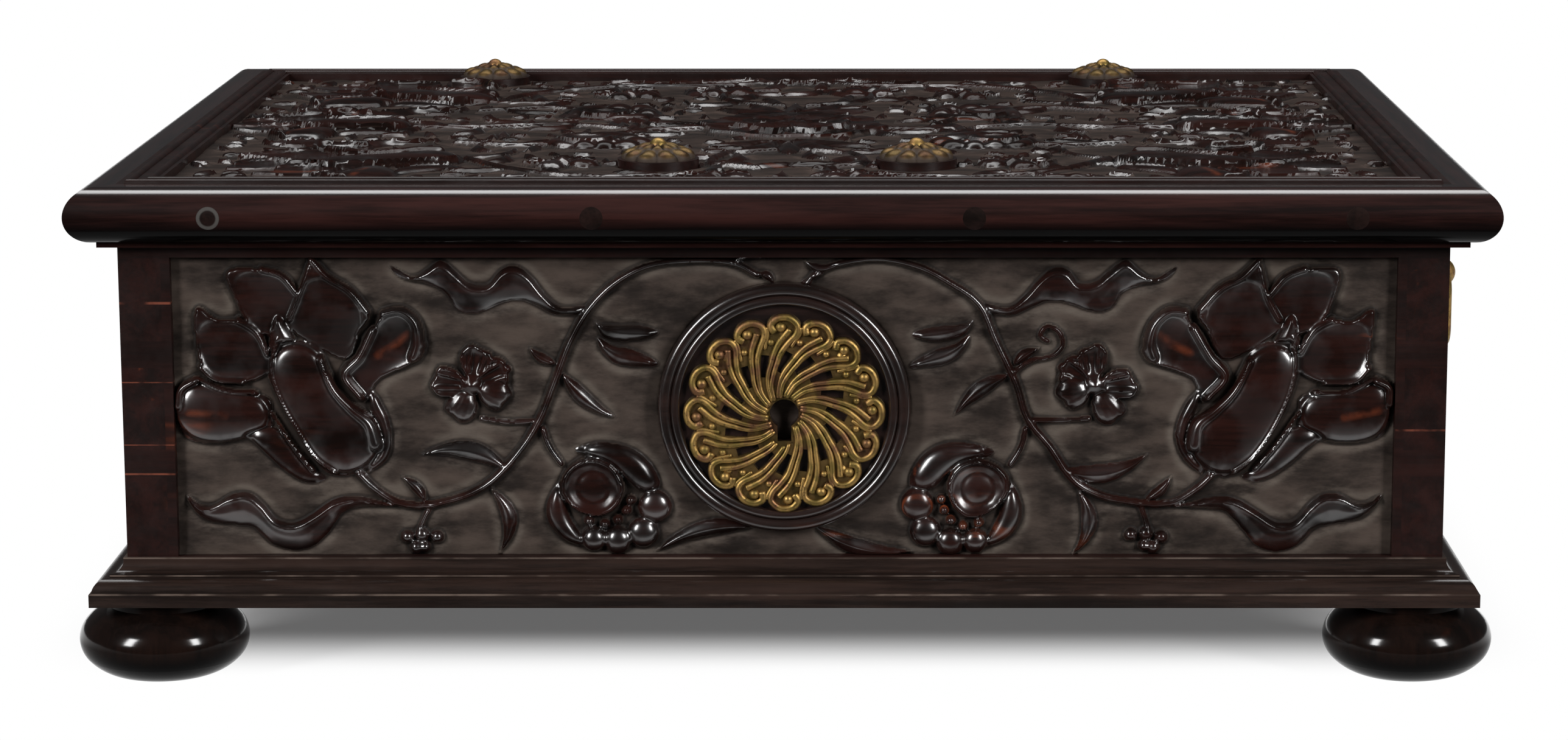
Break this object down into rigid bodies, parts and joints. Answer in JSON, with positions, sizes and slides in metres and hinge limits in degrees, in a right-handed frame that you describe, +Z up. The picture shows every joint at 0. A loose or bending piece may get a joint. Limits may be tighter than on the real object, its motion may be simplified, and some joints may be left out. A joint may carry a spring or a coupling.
{
  "type": "document box",
  "caption": "Low carved ebony document box with a hinged moulded lid, bun feet, a lock behind a pierced brass escutcheon, brass rosettes and bail handles on the sides.",
  "frame": {"origin": "floor level under the middle of the box", "axes": "+Z up, +X along the width to the right, +Y to the back; the front faces -Y"},
  "size_m": [0.485, 0.3728, 0.1746],
  "materials": {
    "ebony": "waxed carved ebony",
    "ebony_moulding": "polished",
    "ebony_turned": "high polish",
    "peg_wood": "end grain",
    "brass": "aged cast brass",
    "iron": "blackened iron"
  },
  "bodies": {
    "body": {"front_board": "ebony", "back_board": "ebony", "left_side_board": "ebony", "right_side_board": "ebony", "bottom_board": "ebony", "base_moulding_front": "ebony_moulding", "base_moulding_back": "ebony_moulding", "base_moulding_left": "ebony_moulding", "base_moulding_right": "ebony_moulding", "foot_front_left": "ebony_turned", "foot_front_right": "ebony_turned", "foot_back_left": "ebony_turned", "foot_back_right": "ebony_turned", "bottom_nails": "iron", "keyhole_roundel": "ebony_turned", "escutcheon": "brass", "escutcheon_tacks": "brass", "lock_plate": "iron", "lock_cover": "iron", "lock_nails": "iron", "bolt_stud": "iron", "bolt_guide": "iron", "bolt_spring": "iron", "key_pin": "iron", "left_hinge_body_leaf": "brass", "right_hinge_body_leaf": "brass", "left_hinge_pin": "brass", "right_hinge_pin": "brass", "hinge_body_nails": "brass", "left_handle_posts": "brass", "right_handle_posts": "brass", "left_handle_plates": "brass", "right_handle_plates": "brass"},
    "lid": {"lid_panel": "ebony", "lid_moulding_front": "ebony_moulding", "lid_moulding_back": "ebony_moulding", "lid_moulding_left": "ebony_moulding", "lid_moulding_right": "ebony_moulding", "lid_pegs": "peg_wood", "left_hinge_lid_leaf": "brass", "right_hinge_lid_leaf": "brass", "hinge_lid_nails": "brass", "rosette_back_left": "brass", "rosette_back_right": "brass", "rosette_front_left": "brass", "rosette_front_right": "brass", "lid_rivets": "brass", "staple_plate": "iron", "staple": "iron"},
    "left_handle": {"left_handle_bail": "brass"},
    "right_handle": {"right_handle_bail": "brass"},
    "lock_bolt": {"lock_bolt": "iron"}
  },
  "joints": [
    {"name": "lid_hinge", "type": "hinge", "parent": "body", "child": "lid", "pos_m": [0, 0.172, 0.1456], "axis": [-1, 0, 0], "range_deg": [0, 105]},
    {"name": "left_handle_swing", "type": "hinge", "parent": "body", "child": "left_handle", "pos_m": [-0.2355, 0, 0.1174], "axis": [0, 1, 0], "range_deg": [0, 110]},
    {"name": "right_handle_swing", "type": "hinge", "parent": "body", "child": "right_handle", "pos_m": [0.2355, 0, 0.1174], "axis": [0, -1, 0], "range_deg": [0, 110]},
    {"name": "lock_bolt_slide", "type": "slide", "parent": "body", "child": "lock_bolt", "axis": [1, 0, 0], "range_m": [0, 0.012]}
  ]
}
